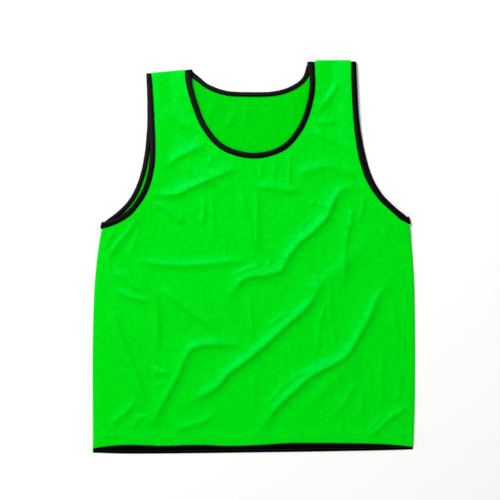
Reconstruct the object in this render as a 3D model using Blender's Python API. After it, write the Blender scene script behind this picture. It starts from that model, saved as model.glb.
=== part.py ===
"""A sleeveless training bib of thin knit, laid out flat with its front upwards.

The back panel lies on the surface and the front panel lies on it. One strip of binding runs round the neck
and one round each armhole: each is a channel folded over the raw edge, which turns over at the shoulder
seams and at the underarms from the front layer to the back one. A tape covers the inside of the back hem.
The front panel carries the garment's folds, which start from its edges and run down to the left.

Sizes and tables are in millimetres; the objects are in metres, with +Y up the garment and +Z off the surface.
"""

import bmesh
import bpy
import numpy as np
from mathutils import Vector
from mathutils.geometry import delaunay_2d_cdt

# Walls and gaps
CLOTH = 1.2
TAPE = 1.1
SEAM_GAP = 0.3
LOOSE_GAP = 0.8

# The binding's two legs and the hem tape, measured from the panel's edge
OUTER_LEG = 9.2
INNER_LEG = 6.9
HEM_TAPE_WIDTH = 17.0
ROUNDING = 0.4
FOLD_OVER_STEPS = 6

# Heights of the layers under a binding, from the surface up
LEG = TAPE + SEAM_GAP
BACK_EDGE = LEG
TURN_LEVEL = BACK_EDGE + CLOTH + LEG + SEAM_GAP / 2
FRONT_EDGE = 2 * TURN_LEVEL - BACK_EDGE - CLOTH
FRONT_NECK_LOW = CLOTH + LEG + SEAM_GAP
NECK_LEVELS_OUT = (245.0, 300.0)

# How a panel's edge settles: level as far as the edge strip, then easing down to the layer below
EDGE_STRIP = 12.0
EDGE_EASE = 34.0
SIDE_EASE = 22.0
HEM_TAPE_COVER = 22.0
TAPE_INSET = 0.6

# How far from an edge the folds have come up to their full height
FOLD_EASE_BOUND = 22.0
FOLD_EASE_FREE = 26.0
BACK_FOLD_EASE = (8.0, 45.0)
SHARE_OF_BACK = 0.3

# Mesh spacing, and the least distances as shares of it: from an edge, from a point kept before, along a crest
FRONT_SPACING = 13.2
EDGE_SHARE = 0.5
POINT_SHARE = 0.6
CREST_SHARE = 0.8
BACK_SPACING = 24.0
BINDING_STEP = 16.0
FOLD_STEP = 5.0
CURVE_STEPS = 24
ON_LINE = 0.05
CLEAR_OF_BINDING = 14.0
SHARP_ANGLE = 0.7

# Points that the two panels share: x, y
SHOULDER_TIP_LEFT = (-191.5, 325.5)
SHOULDER_NECK_LEFT = (-111.5, 332.5)
SHOULDER_NECK_RIGHT = (97.5, 346.5)
SHOULDER_TIP_RIGHT = (182.5, 347.0)
UNDERARM_LEFT = (-269.5, 61.0)
UNDERARM_RIGHT = (275.3, 70.5)

# How far the shoulders stand above the seam's line between the bindings
SHOULDER_RISE_LEFT = 4.4
SHOULDER_RISE_RIGHT = 6.4
SHOULDER_STATIONS = (12.0, 18.0, 26.0)
SHOULDER_LIFTS = (0.0, 0.7, 1.0)

# Edge lines of the cut panels, a row for each point: x, y
FRONT_NECK = (
    SHOULDER_NECK_LEFT,
    (-112.5, 314.0),
    (-103.5, 279.0),
    (-85.0, 235.0),
    (-52.0, 199.5),
    (0.0, 185.7),
    (50.0, 199.0),
    (81.5, 235.0),
    (97.0, 278.0),
    (101.5, 315.0),
    SHOULDER_NECK_RIGHT,
)
BACK_NECK = (
    SHOULDER_NECK_LEFT,
    (-98.0, 321.5),
    (-80.0, 308.0),
    (-48.0, 297.0),
    (-5.0, 294.8),
    (36.0, 296.2),
    (66.0, 305.0),
    (88.0, 320.8),
    SHOULDER_NECK_RIGHT,
)
FRONT_ARMHOLE_LEFT = (
    SHOULDER_TIP_LEFT,
    (-188.6, 277.0),
    (-186.0, 225.0),
    (-185.4, 180.0),
    (-190.5, 144.5),
    (-202.0, 114.0),
    (-223.5, 84.5),
    (-247.0, 68.7),
    UNDERARM_LEFT,
)
BACK_ARMHOLE_LEFT = (
    SHOULDER_TIP_LEFT,
    (-190.0, 277.0),
    (-190.4, 232.0),
    (-194.7, 186.0),
    (-203.2, 145.0),
    (-218.3, 109.5),
    (-240.0, 83.5),
    UNDERARM_LEFT,
)
FRONT_ARMHOLE_RIGHT = (
    SHOULDER_TIP_RIGHT,
    (184.4, 300.0),
    (186.3, 262.0),
    (190.7, 219.0),
    (198.3, 177.0),
    (209.9, 141.5),
    (228.6, 111.5),
    (253.0, 88.0),
    UNDERARM_RIGHT,
)
BACK_ARMHOLE_RIGHT = (
    SHOULDER_TIP_RIGHT,
    (184.0, 300.0),
    (187.0, 262.0),
    (192.6, 219.0),
    (201.5, 177.0),
    (212.8, 141.5),
    (230.6, 111.5),
    (254.0, 88.0),
    UNDERARM_RIGHT,
)
SIDE_LEFT = (
    UNDERARM_LEFT,
    (-274.0, 44.0),
    (-280.2, 8.0),
    (-285.5, -45.0),
    (-288.3, -105.0),
    (-289.7, -190.0),
    (-289.3, -270.0),
)
SIDE_RIGHT = (
    UNDERARM_RIGHT,
    (280.6, 50.0),
    (284.4, 12.0),
    (288.0, -45.0),
    (289.2, -105.0),
    (289.7, -180.0),
    (288.9, -270.0),
)
FRONT_HEM = (
    (-288.6, -343.5),
    (-258.0, -339.0),
    (-220.0, -337.2),
    (-162.0, -338.8),
    (-102.0, -337.2),
    (-42.0, -339.0),
    (10.0, -337.2),
    (60.0, -334.0),
    (110.0, -333.6),
    (225.0, -335.4),
    (286.0, -340.5),
)
BACK_HEM = (
    (-289.0, -350.4),
    (-222.0, -352.2),
    (-90.0, -351.2),
    (30.0, -349.6),
    (140.0, -348.0),
    (245.0, -345.9),
    (285.5, -344.4),
)

# Folds. Each crest runs through its points (x, y) and rises to height; the cloth comes up to it over the
# width on its upper left, lit, side and falls away over the width on its lower right, shaded, side. The
# share PINCH of a fold's height stands on the inner part NARROW of its width.
FOLD_COLUMNS = ("height", "lit", "shaded", "crest")
TO_THE_SHADE = (1.0, -1.3)
CREST_ROUND = 4.0
PINCH = 0.55
NARROW = 0.5
HIGH_FOLD = 3.5
FRONT_FOLDS = {
    "shoulder_to_neck_left": (4.6, 26, 16, ((-78, 208), (-96, 199), (-118, 188), (-138, 178), (-156, 162))),
    "armhole_to_neck": (5.6, 30, 16, ((-184, 113), (-160, 112), (-138, 113), (-115, 124), (-92, 134), (-50, 152), (-26, 159))),
    "strap_left": (3.8, 26, 18, ((-166, 262), (-150, 255), (-136, 244), (-122, 236), (-104, 230))),
    "strap_right_rising": (4.6, 20, 15, ((106, 260), (120, 270), (134, 285), (144, 298), (152, 314))),
    "strap_right_level": (2.6, 14, 13, ((102, 241), (122, 242), (146, 243))),
    "strap_right_falling": (3.6, 22, 18, ((98, 229), (118, 220), (140, 209), (160, 198), (180, 187))),
    "chest_arc": (3.8, 18, 36, ((82, 138), (88, 152), (108, 159), (135, 164), (160, 156), (190, 146))),
    "chest_level": (3.6, 30, 14, ((8, 127), (30, 124), (58, 120), (84, 118))),
    "s_fold": (7, 30, 18, ((190, 129), (160, 121), (143, 101), (131, 72), (108, 48), (80, 24), (60, -2), (50, -22), (28, -31), (0, -34), (-20, -41), (-38, -62), (-47, -86))),
    "flank_right": (3.9, 30, 13, ((178, 84), (170, 50), (164, 20), (163, -25), (158, -60))),
    "packing_crease": (4, 20, 14, ((-206, -7), (-170, -12), (-130, -15), (-90, -13), (-50, -9), (-12, -5))),
    "underarm_low": (4, 12, 14, ((-268, 12), (-260, 34), (-246, 52))),
    "underarm_long": (4.8, 14, 13, ((-262, -4), (-250, 16), (-236, 33), (-221, 53), (-209, 78))),
    "underarm_inner": (3.4, 14, 18, ((-182, 98), (-160, 89), (-142, 76), (-120, 60))),
    "belly_left": (4.8, 20, 15, ((-166, -56), (-148, -70), (-126, -89), (-102, -105), (-82, -120), (-66, -134))),
    "flank_left_short": (4, 14, 13, ((-209, -12), (-200, -38), (-186, -64), (-173, -94), (-172, -165))),
    "flank_left_long": (5, 20, 14, ((-258, -84), (-242, -135), (-226, -172), (-212, -208), (-201, -245), (-190, -277))),
    "third_fold": (6.2, 30, 18, ((-18, -157), (-60, -156), (-85, -157), (-108, -162), (-120, -175), (-130, -197), (-140, -220), (-163, -260), (-180, -292), (-198, -303))),
    "first_fold": (7.6, 38, 19, ((112, -42), (117, -54), (105, -76), (85, -99), (55, -125), (25, -153), (-10, -182), (-45, -208), (-62, -228), (-82, -243), (-124, -264))),
    "second_fold": (7.8, 38, 19, ((244, -43), (222, -72), (208, -105), (188, -142), (165, -177), (135, -195), (100, -215), (70, -242), (42, -268), (20, -298), (4, -321))),
    "corner_left": (3.6, 20, 13, ((-256, -298), (-240, -287), (-213, -262))),
    "hem_left": (3.1, 24, 16, ((-142, -312), (-120, -304), (-96, -297), (-66, -280))),
    "corner_right": (4.2, 24, 14, ((276, -270), (246, -288), (232, -301), (204, -324))),
    "hem_right": (2.5, 20, 16, ((184, -225), (172, -246), (158, -268), (143, -286))),
}
BACK_FOLDS = {
    "nape": (1.6, 16, 24, ((-13, 274), (-15, 256), (-17, 238))),
    "shoulder_blade": (2.0, 34, 30, ((-128, 172), (-88, 140), (-40, 118))),
    "waist": (2.2, 38, 34, ((206, 30), (150, -24), (84, -70))),
    "flank": (2.0, 34, 30, ((-214, -96), (-178, -168), (-150, -232))),
    "hip": (2.0, 36, 32, ((196, -168), (140, -226), (88, -276))),
}

# Finish: colour as linear red, green and blue, then roughness
FINISHES = {
    "green_knit": ((0.0, 0.716, 0.003), 0.62),
    "black_binding": ((0.008, 0.008, 0.009), 0.78),
}


def ease(value, start, end):
    """0 up to start, 1 from end on, and a smooth S between."""
    t = np.clip((value - start) / (end - start), 0.0, 1.0)
    return t * t * (3.0 - 2.0 * t)


def smooth_line(table, step):
    """Points a step apart on the Catmull-Rom curve through the table's points, its ends among them."""
    knots = np.array(table, float)
    ends = (2 * knots[0] - knots[1], 2 * knots[-1] - knots[-2])
    padded = np.vstack([ends[0], knots, ends[1]])
    t = np.linspace(0.0, 1.0, CURVE_STEPS, endpoint=False)[:, None]
    spans = []
    for a, b, c, d in zip(padded, padded[1:], padded[2:], padded[3:]):
        spans.append(b + 0.5 * t * (c - a + t * (2 * a - 5 * b + 4 * c - d + t * (3 * (b - c) + d - a))))
    fine = np.vstack([*spans, knots[-1:]])
    along = np.concatenate([[0.0], np.cumsum(np.linalg.norm(np.diff(fine, axis=0), axis=1))])
    stations = np.linspace(0.0, along[-1], max(2, round(along[-1] / step) + 1))
    return np.column_stack([np.interp(stations, along, fine[:, axis]) for axis in (0, 1)])


def distance_to(points, lines):
    """Distance from each point to the nearest of the lines, which are rows of close points."""
    nearest = np.full(len(points), np.inf)
    for line in lines:
        start = line[:-1]
        run = line[1:] - start
        offset = points[:, None] - start
        t = np.clip((offset * run).sum(-1) / (run * run).sum(-1), 0.0, 1.0)
        gap = np.linalg.norm(offset - t[..., None] * run, axis=-1).min(axis=1)
        nearest = np.minimum(nearest, gap)
    return nearest


def crest_line(fold, step):
    """Points along a fold's crest, and at each the direction across it to the shaded, lower right, side."""
    crest = smooth_line(fold["crest"], step)
    tangent = np.gradient(crest, axis=0)
    normal = np.column_stack([tangent[:, 1], -tangent[:, 0]])
    normal /= np.linalg.norm(normal, axis=1)[:, None]
    return crest, normal * np.where(normal @ TO_THE_SHADE < 0, -1.0, 1.0)[:, None]


def fold_heights(points, folds):
    """Height of the folds over each point.

    A fold is the upper envelope of bumps, one on each point of its crest. A bump is a narrow pinch on a broad
    swell, each (1 - run / width)^2, where run is root(distance^2 + round^2) - round. Its width turns smoothly
    from the lit width to the shaded one, and a crest fades in and out over its ends. Folds that meet join as
    the root of their summed squares.
    """
    total = np.zeros(len(points))
    for row in folds.values():
        fold = dict(zip(FOLD_COLUMNS, row))
        crest, normal = crest_line(fold, FOLD_STEP)
        t = np.linspace(0.0, 1.0, len(crest))
        height = fold["height"] * ease(np.minimum(t, 1 - t), -0.06, 0.2)
        offset = points[:, None] - crest
        distance = np.linalg.norm(offset, axis=-1) + 1e-6
        side = (offset * normal).sum(-1) / distance
        width = 0.5 * (fold["shaded"] + fold["lit"]) + 0.5 * (fold["shaded"] - fold["lit"]) * side
        run = np.sqrt(distance**2 + CREST_ROUND**2) - CREST_ROUND
        swell = np.clip(1 - run / width, 0.0, None) ** 2
        pinch = np.clip(1 - run / (NARROW * width), 0.0, None) ** 2
        bump = height * (PINCH * pinch + (1 - PINCH) * swell)
        total += bump.max(axis=1) ** 2
    return np.sqrt(total)


def inward(line, inside, first, last):
    """The direction into the panel at each point of an edge line; first and last give it at the ends."""
    tangent = np.gradient(line, axis=0)
    normal = np.column_stack([-tangent[:, 1], tangent[:, 0]])
    normal /= np.linalg.norm(normal, axis=1)[:, None]
    middle = len(line) // 2
    if (inside - line[middle]) @ normal[middle] < 0:
        normal = -normal
    normal[0] = first
    normal[-1] = last
    return normal


def unit(start, end):
    """The direction from one point to another."""
    run = np.subtract(end, start)
    return run / np.linalg.norm(run)


def shoulder_line(tip, neck, rise):
    """From the armhole to the neck: on the seam's line under each binding, and a rise above it between them."""
    tip = np.array(tip)
    neck = np.array(neck)
    along = unit(tip, neck)
    up = np.array([-along[1], along[0]]) * np.sign(along[0])
    length = np.linalg.norm(neck - tip)
    stations = np.array(SHOULDER_STATIONS)
    inner = np.concatenate([stations, [0.5 * length], length - stations[::-1]])
    lifts = rise * np.array([*SHOULDER_LIFTS, 1.0, *SHOULDER_LIFTS[::-1]])
    middle = tip + inner[:, None] * along + lifts[:, None] * up
    return np.vstack([tip, middle, neck])


class Panel:
    """One cut panel: its outline, the stations of its bound edges and its mesh points in plan."""

    def __init__(self, neck, armhole_left, armhole_right, hem, folds, spacing):
        side_left = smooth_line((*SIDE_LEFT, hem[0]), spacing)
        side_right = smooth_line((*SIDE_RIGHT, hem[-1]), spacing)
        across_left = unit(SHOULDER_TIP_LEFT, SHOULDER_NECK_LEFT)
        across_right = unit(SHOULDER_TIP_RIGHT, SHOULDER_NECK_RIGHT)
        down_left = unit(UNDERARM_LEFT, SIDE_LEFT[1])
        down_right = unit(UNDERARM_RIGHT, SIDE_RIGHT[1])
        self.hem = smooth_line(hem, spacing)
        self.sides = [side_left, side_right]
        self.shoulders = [
            shoulder_line(SHOULDER_TIP_LEFT, SHOULDER_NECK_LEFT, SHOULDER_RISE_LEFT),
            shoulder_line(SHOULDER_TIP_RIGHT, SHOULDER_NECK_RIGHT, SHOULDER_RISE_RIGHT),
        ]
        self.bound = {
            "neck": (smooth_line(neck, BINDING_STEP), (0.0, 0.0), -across_left, -across_right),
            "armhole_left": (smooth_line(armhole_left, BINDING_STEP), (0.0, 100.0), across_left, down_left),
            "armhole_right": (smooth_line(armhole_right, BINDING_STEP), (0.0, 100.0), across_right, down_right),
        }
        self.bound = {name: (line, inward(line, *rest)) for name, (line, *rest) in self.bound.items()}
        self.bound_lines = [line for line, _ in self.bound.values()]
        neck_line, left_line, right_line = self.bound_lines
        self.outline = np.vstack([
            self.hem[:-1],
            side_right[::-1][:-1],
            right_line[::-1][:-1],
            self.shoulders[1][:-1],
            neck_line[::-1][:-1],
            self.shoulders[0][::-1][:-1],
            left_line[:-1],
            side_left[:-1],
        ])
        self.points, self.triangles = self.fill(folds, spacing)

    def fill(self, folds, spacing):
        """A triangle mesh in plan: a strip along each bound edge, rows along the folds, and a field."""
        closed = np.vstack([self.outline, self.outline[:1]])
        strips = [line + EDGE_STRIP * into for line, into in self.bound.values()]
        low, high = self.outline.min(axis=0), self.outline.max(axis=0)
        rows = np.arange(low[1], high[1], spacing * np.sqrt(0.75))
        columns = np.arange(low[0], high[0] + spacing, spacing)
        x, y = np.meshgrid(columns, rows)
        x = x + 0.5 * spacing * (np.arange(len(rows)) % 2)[:, None]
        field = np.column_stack([x.ravel(), y.ravel()])
        # Rows along the folds come before the field, and a point too near one before it is left out
        rows = [row for fold in folds.values() for row in fold_rows(dict(zip(FOLD_COLUMNS, fold)), spacing)]
        inner = np.empty((0, 2))
        chains = []
        for row in [*rows, field]:
            row = row[inside_of(row, closed)]
            row = row[distance_to(row, [closed, *strips]) > EDGE_SHARE * spacing]
            row = row[distance_to(row, self.bound_lines) > EDGE_STRIP]
            added = spaced(row, inner, POINT_SHARE * spacing)
            chains.append(np.arange(len(inner), len(inner) + len(added)))
            inner = np.vstack([inner, added])
        points = np.vstack([self.outline, *strips, inner])
        count = len(self.outline)
        edges = [(i, (i + 1) % count) for i in range(count)]
        start = count
        for strip in strips:
            edges += [(start + i, start + i + 1) for i in range(len(strip) - 1)]
            start += len(strip)
        # The points kept of one row are joined, so that a crest is an edge of the mesh
        for chain in chains[:-1]:
            steps = np.linalg.norm(np.diff(inner[chain], axis=0), axis=1)
            edges += [(start + a, start + a + 1) for a in chain[:-1][steps < spacing]]
        plan = [Vector(p) for p in points]
        mesh = delaunay_2d_cdt(plan, edges, [list(range(count))], 1, 1e-4)
        return np.array([tuple(v) for v in mesh[0]]), np.array(mesh[2])


def fold_rows(fold, spacing):
    """Mesh points along a fold's crest and, where it is high, along both feet of its pinch."""
    crest, normal = crest_line(fold, CREST_SHARE * spacing)
    if fold["height"] < HIGH_FOLD:
        return [crest]
    return [crest, crest + NARROW * fold["shaded"] * normal, crest - NARROW * fold["lit"] * normal]


def spaced(points, placed, least):
    """The points in order, without any nearer than least to a placed point or to one kept before it."""
    kept = placed
    for point in points:
        if not len(kept) or ((kept - point) ** 2).sum(axis=1).min() > least * least:
            kept = np.vstack([kept, point])
    return kept[len(placed):]


def inside_of(points, closed):
    """Which points lie inside a closed outline, by counting its crossings to the right of each point."""
    x, y = points[:, :1], points[:, 1:]
    x1, y1 = closed[:-1].T
    x2, y2 = closed[1:].T
    spans = (y1 > y) != (y2 > y)
    rise = np.where(y2 == y1, 1.0, y2 - y1)
    crossing = x1 + (y - y1) * (x2 - x1) / rise
    return (spans & (x < crossing)).sum(axis=1) % 2 == 1


def back_underside(points, panel):
    """Height of the back panel's underside: on the surface, but raised over the binding's lower leg."""
    bound = distance_to(points, panel.bound_lines)
    free = distance_to(points, [*panel.sides, panel.hem])
    raised = BACK_EDGE * (1 - ease(bound, EDGE_STRIP, EDGE_STRIP + EDGE_EASE))
    fade = ease(bound, EDGE_STRIP, EDGE_STRIP + EDGE_EASE) * ease(free, *BACK_FOLD_EASE)
    return raised + fade * fold_heights(points, BACK_FOLDS)


def front_underside(points, panel, back):
    """Height of the front panel's underside: over the back panel and its tape, up to the bindings' level."""
    neck, left, right = (distance_to(points, [line]) for line in panel.bound_lines)
    free = distance_to(points, [*panel.sides, panel.hem])
    over_back = back_underside(points, back)
    loose = SEAM_GAP + (LOOSE_GAP - SEAM_GAP + SHARE_OF_BACK * over_back) * ease(free, 0.0, SIDE_EASE)
    tape = LEG * (1 - ease(distance_to(points, [back.hem]), HEM_TAPE_COVER, HEM_TAPE_COVER + SIDE_EASE))
    folds = fold_heights(points, FRONT_FOLDS)
    bound = np.minimum(neck, np.minimum(left, right))
    fade = ease(bound, EDGE_STRIP, EDGE_STRIP + FOLD_EASE_BOUND) * ease(free, 0.0, FOLD_EASE_FREE)
    lying = over_back + CLOTH + loose + tape + fade * folds
    neck_level = FRONT_NECK_LOW + (FRONT_EDGE - FRONT_NECK_LOW) * ease(points[:, 1], *NECK_LEVELS_OUT)
    pull = [1 - ease(distance, EDGE_STRIP, EDGE_STRIP + EDGE_EASE) for distance in (neck, left, right)]
    armhole_pull = np.maximum(pull[1], pull[2])
    level = (pull[0] * neck_level + armhole_pull * FRONT_EDGE) / (pull[0] + armhole_pull + 1e-9)
    held = np.maximum(pull[0], armhole_pull)
    return lying + held * (level - lying)


def seam_rim(points, panel, height, level):
    """At the shoulder seams, between the bindings, one face of the panel's rim is brought to the seam."""
    on_seam = distance_to(points, panel.shoulders) < ON_LINE
    on_seam &= distance_to(points, panel.bound_lines) > CLEAR_OF_BINDING
    return np.where(on_seam, level, height)


def mesh_object(name, points, faces, finish):
    """A closed mesh object from points in millimetres."""
    mesh = bpy.data.meshes.new(name)
    mesh.from_pydata([tuple(p) for p in np.asarray(points) * 0.001], [], [tuple(map(int, f)) for f in faces])
    shaped = bmesh.new()
    shaped.from_mesh(mesh)
    bmesh.ops.recalc_face_normals(shaped, faces=shaped.faces)
    bmesh.ops.triangulate(shaped, faces=shaped.faces)
    shaped.to_mesh(mesh)
    shaped.free()
    mesh.shade_smooth()
    mesh.set_sharp_from_angle(angle=SHARP_ANGLE)
    mesh.materials.append(bpy.data.materials[finish])
    piece = bpy.data.objects.new(name, mesh)
    bpy.context.scene.collection.objects.link(piece)
    return piece


def panel_object(name, panel, underside, topside):
    """The wall of a panel between its two faces, closed round its rim."""
    count = len(panel.points)
    lower = np.column_stack([panel.points, underside])
    upper = np.column_stack([panel.points, topside])
    edges = np.vstack([panel.triangles[:, [0, 1]], panel.triangles[:, [1, 2]], panel.triangles[:, [2, 0]]])
    _, first, uses = np.unique(np.sort(edges, axis=1), axis=0, return_index=True, return_counts=True)
    rim = edges[first[uses == 1]]
    faces = [*(panel.triangles + count), *panel.triangles[:, ::-1]]
    faces += [(a, b, b + count, a + count) for a, b in rim]
    return mesh_object(name, np.vstack([lower, upper]), faces, "green_knit")


def channel_section(underside):
    """A binding's section, rows of (distance into the panel, height): outer leg, fold, inner leg."""
    top = underside + CLOTH
    out = -LEG
    return np.array([
        (OUTER_LEG, top + SEAM_GAP),
        (OUTER_LEG, top + LEG),
        (out + ROUNDING, top + LEG),
        (out, top + LEG - ROUNDING),
        (out, underside - LEG + ROUNDING),
        (out + ROUNDING, underside - LEG),
        (INNER_LEG, underside - LEG),
        (INNER_LEG, underside - SEAM_GAP),
        (-SEAM_GAP, underside - SEAM_GAP),
        (-SEAM_GAP, top + SEAM_GAP),
    ])


def along_edge(line, into, edge_height, strip_height):
    """The channel's sections along a bound edge, each point carried on the panel's own edge strip."""
    section = channel_section(0.0)
    reach = section[:, 0]
    plan = line[:, None] + reach[:, None] * into[:, None]
    slope = (strip_height - edge_height)[:, None] * np.clip(reach / EDGE_STRIP, 0.0, None)
    height = edge_height[:, None] + slope + section[:, 1]
    return np.concatenate([plan, height[..., None]], axis=-1)


def turned_over(corner, into, outward):
    """The sections of the half turn from the front layer to the back one, about the seam's line."""
    section = channel_section(FRONT_EDGE)
    angles = np.linspace(0.0, np.pi, FOLD_OVER_STEPS + 1)[1:-1]
    radius = section[:, 1] - TURN_LEVEL
    rings = []
    for angle in angles:
        plan = corner + section[:, :1] * into + np.sin(angle) * radius[:, None] * outward
        rings.append(np.column_stack([plan, TURN_LEVEL + np.cos(angle) * radius]))
    return np.array(rings)


def flipped(sections):
    """The same channel on the back layer, where its outer leg is the lower one."""
    mirrored = sections.copy()
    mirrored[..., 2] = 2 * TURN_LEVEL - mirrored[..., 2]
    return mirrored


def binding_object(name, edge, front, back, heights, outwards):
    """A binding strip: along the front edge, over at its end, back along the other layer and over again."""
    line, into = front.bound[edge]
    back_line, back_into = back.bound[edge]
    on_front = along_edge(line, into, *heights)
    level = np.full(len(back_line), FRONT_EDGE)
    on_back = flipped(along_edge(back_line, back_into, level, level))[::-1]
    sections = np.concatenate([
        on_front,
        turned_over(line[-1], into[-1], outwards[1]),
        on_back,
        turned_over(line[0], into[0], outwards[0])[::-1],
    ])
    rings, size = sections.shape[:2]
    index = np.arange(rings * size).reshape(rings, size)
    following = np.roll(index, -1, axis=0)
    quads = np.stack([index, following, np.roll(following, -1, axis=1), np.roll(index, -1, axis=1)], axis=-1)
    return mesh_object(name, sections.reshape(-1, 3), quads.reshape(-1, 4), "black_binding")


def hem_tape_object(name, back):
    """The tape on the inside of the back hem, its lower edge turned down over the panel's edge."""
    line = back.hem
    into = inward(line, np.zeros(2), (0.0, 1.0), (0.0, 1.0))
    line = line.copy()
    line[0, 0] += TAPE_INSET
    line[-1, 0] -= TAPE_INSET
    section = np.array([
        (HEM_TAPE_WIDTH, CLOTH + SEAM_GAP),
        (HEM_TAPE_WIDTH, CLOTH + LEG),
        (ROUNDING - LEG, CLOTH + LEG),
        (-LEG, CLOTH + LEG - ROUNDING),
        (-LEG, 0.0),
        (-SEAM_GAP, 0.0),
        (-SEAM_GAP, CLOTH + SEAM_GAP),
    ])
    plan = line[:, None] + section[:, 0][:, None] * into[:, None]
    height = np.broadcast_to(section[:, 1], plan.shape[:2])
    sections = np.concatenate([plan, height[..., None]], axis=-1)
    rings, size = sections.shape[:2]
    index = np.arange(rings * size).reshape(rings, size)
    here, there = index[:-1], index[1:]
    quads = np.stack([here, there, np.roll(there, -1, axis=1), np.roll(here, -1, axis=1)], axis=-1)
    faces = [*quads.reshape(-1, 4), index[0], index[-1][::-1]]
    return mesh_object(name, sections.reshape(-1, 3), faces, "black_binding")


def make_finishes():
    """A plain Principled material for the knit and one for the binding."""
    for name, (colour, roughness) in FINISHES.items():
        material = bpy.data.materials.new(name)
        material.use_nodes = True
        shader = material.node_tree.nodes["Principled BSDF"]
        shader.inputs["Base Color"].default_value = (*colour, 1.0)
        shader.inputs["Roughness"].default_value = roughness
        shader.inputs["Metallic"].default_value = 0.0


def centre_on_floor(pieces):
    """Moves the pieces so that the middle of their box's underside is the origin."""
    corners = np.array([v.co for piece in pieces for v in piece.data.vertices])
    middle = 0.5 * (corners.min(axis=0) + corners.max(axis=0))
    shift = np.array([middle[0], middle[1], corners[:, 2].min()])
    for piece in pieces:
        for vertex in piece.data.vertices:
            vertex.co -= Vector(shift)


def main():
    for piece in list(bpy.data.objects):
        bpy.data.objects.remove(piece)
    make_finishes()
    front = Panel(FRONT_NECK, FRONT_ARMHOLE_LEFT, FRONT_ARMHOLE_RIGHT, FRONT_HEM, FRONT_FOLDS, FRONT_SPACING)
    back = Panel(BACK_NECK, BACK_ARMHOLE_LEFT, BACK_ARMHOLE_RIGHT, BACK_HEM, BACK_FOLDS, BACK_SPACING)

    under_back = back_underside(back.points, back)
    over_back = seam_rim(back.points, back, under_back + CLOTH, TURN_LEVEL - SEAM_GAP / 2)
    under_front = front_underside(front.points, front, back)
    over_front = under_front + CLOTH
    under_front = seam_rim(front.points, front, under_front, TURN_LEVEL + SEAM_GAP / 2)
    pieces = [
        panel_object("back_panel", back, under_back, over_back),
        panel_object("front_panel", front, under_front, over_front),
        hem_tape_object("hem_tape", back),
    ]

    up_left = np.array([-0.087, 0.996])
    up_right = np.array([0.0, 1.0])
    out_left = np.array([-0.97, 0.24])
    out_right = np.array([0.98, 0.2])
    outwards = {
        "neck": (up_left, up_right),
        "armhole_left": (up_left, out_left),
        "armhole_right": (up_right, out_right),
    }
    for edge, turns in outwards.items():
        line, into = front.bound[edge]
        heights = [front_underside(line + reach * into, front, back) for reach in (0.0, EDGE_STRIP)]
        name = "neck_binding" if edge == "neck" else edge.replace("armhole", "armhole_binding")
        pieces.append(binding_object(name, edge, front, back, heights, turns))
    centre_on_floor(pieces)


main()
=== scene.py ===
# %% [markdown]
# A training bib, laid out flat.
#
# The real thing is a pull-over vest of thin polyester tricot: a front, a back, a black binding folded round
# the neck and round each armhole, and a black tape inside the hem. Here it lies on a pale surface with its
# front upwards, seen from straight above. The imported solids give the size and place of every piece, and each
# is replaced by a thin shell with the finer folds, seams and stitches of the real cloth.

import bpy
import numpy as np
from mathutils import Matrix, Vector


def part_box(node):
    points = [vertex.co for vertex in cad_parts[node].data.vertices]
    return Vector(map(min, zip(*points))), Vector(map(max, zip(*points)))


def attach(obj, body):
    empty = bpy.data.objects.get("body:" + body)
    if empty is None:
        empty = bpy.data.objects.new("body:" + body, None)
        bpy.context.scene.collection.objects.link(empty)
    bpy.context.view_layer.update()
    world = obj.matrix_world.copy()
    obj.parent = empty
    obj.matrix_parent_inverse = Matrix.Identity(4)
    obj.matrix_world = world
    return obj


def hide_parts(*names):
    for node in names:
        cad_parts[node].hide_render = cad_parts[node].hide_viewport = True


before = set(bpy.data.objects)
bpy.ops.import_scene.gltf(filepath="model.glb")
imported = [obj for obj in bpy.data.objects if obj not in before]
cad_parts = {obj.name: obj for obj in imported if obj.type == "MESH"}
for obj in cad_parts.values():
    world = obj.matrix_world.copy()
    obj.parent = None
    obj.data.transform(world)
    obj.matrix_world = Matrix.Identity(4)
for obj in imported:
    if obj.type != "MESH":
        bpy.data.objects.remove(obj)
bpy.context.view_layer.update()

# %% [markdown]
# Sizes. Tables are in millimetres, in the frame's own axes: X to the right, Y up the garment, Z off the
# surface. The cut edges are given by a few points each, and a smooth curve is drawn through them.

# %% Sizes and edge lines
MM = 0.001
SHELL = 0.6
WALL = 1.2
LEG = 1.4
BACK_EDGE = 1.4
TURN_LEVEL = 4.15
FRONT_EDGE = 5.7
FRONT_NECK_LOW = 2.9
NECK_LEVELS_OUT = (245.0, 300.0)
EDGE_STRIP = 12.0
EDGE_EASE = 34.0
HEM_TAPE_WIDTH = 17.0

SHOULDER_TIP_LEFT = (-191.5, 325.5)
SHOULDER_NECK_LEFT = (-111.5, 332.5)
SHOULDER_NECK_RIGHT = (97.5, 346.5)
SHOULDER_TIP_RIGHT = (182.5, 347.0)
UNDERARM_LEFT = (-269.5, 61.0)
UNDERARM_RIGHT = (275.3, 70.5)

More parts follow.
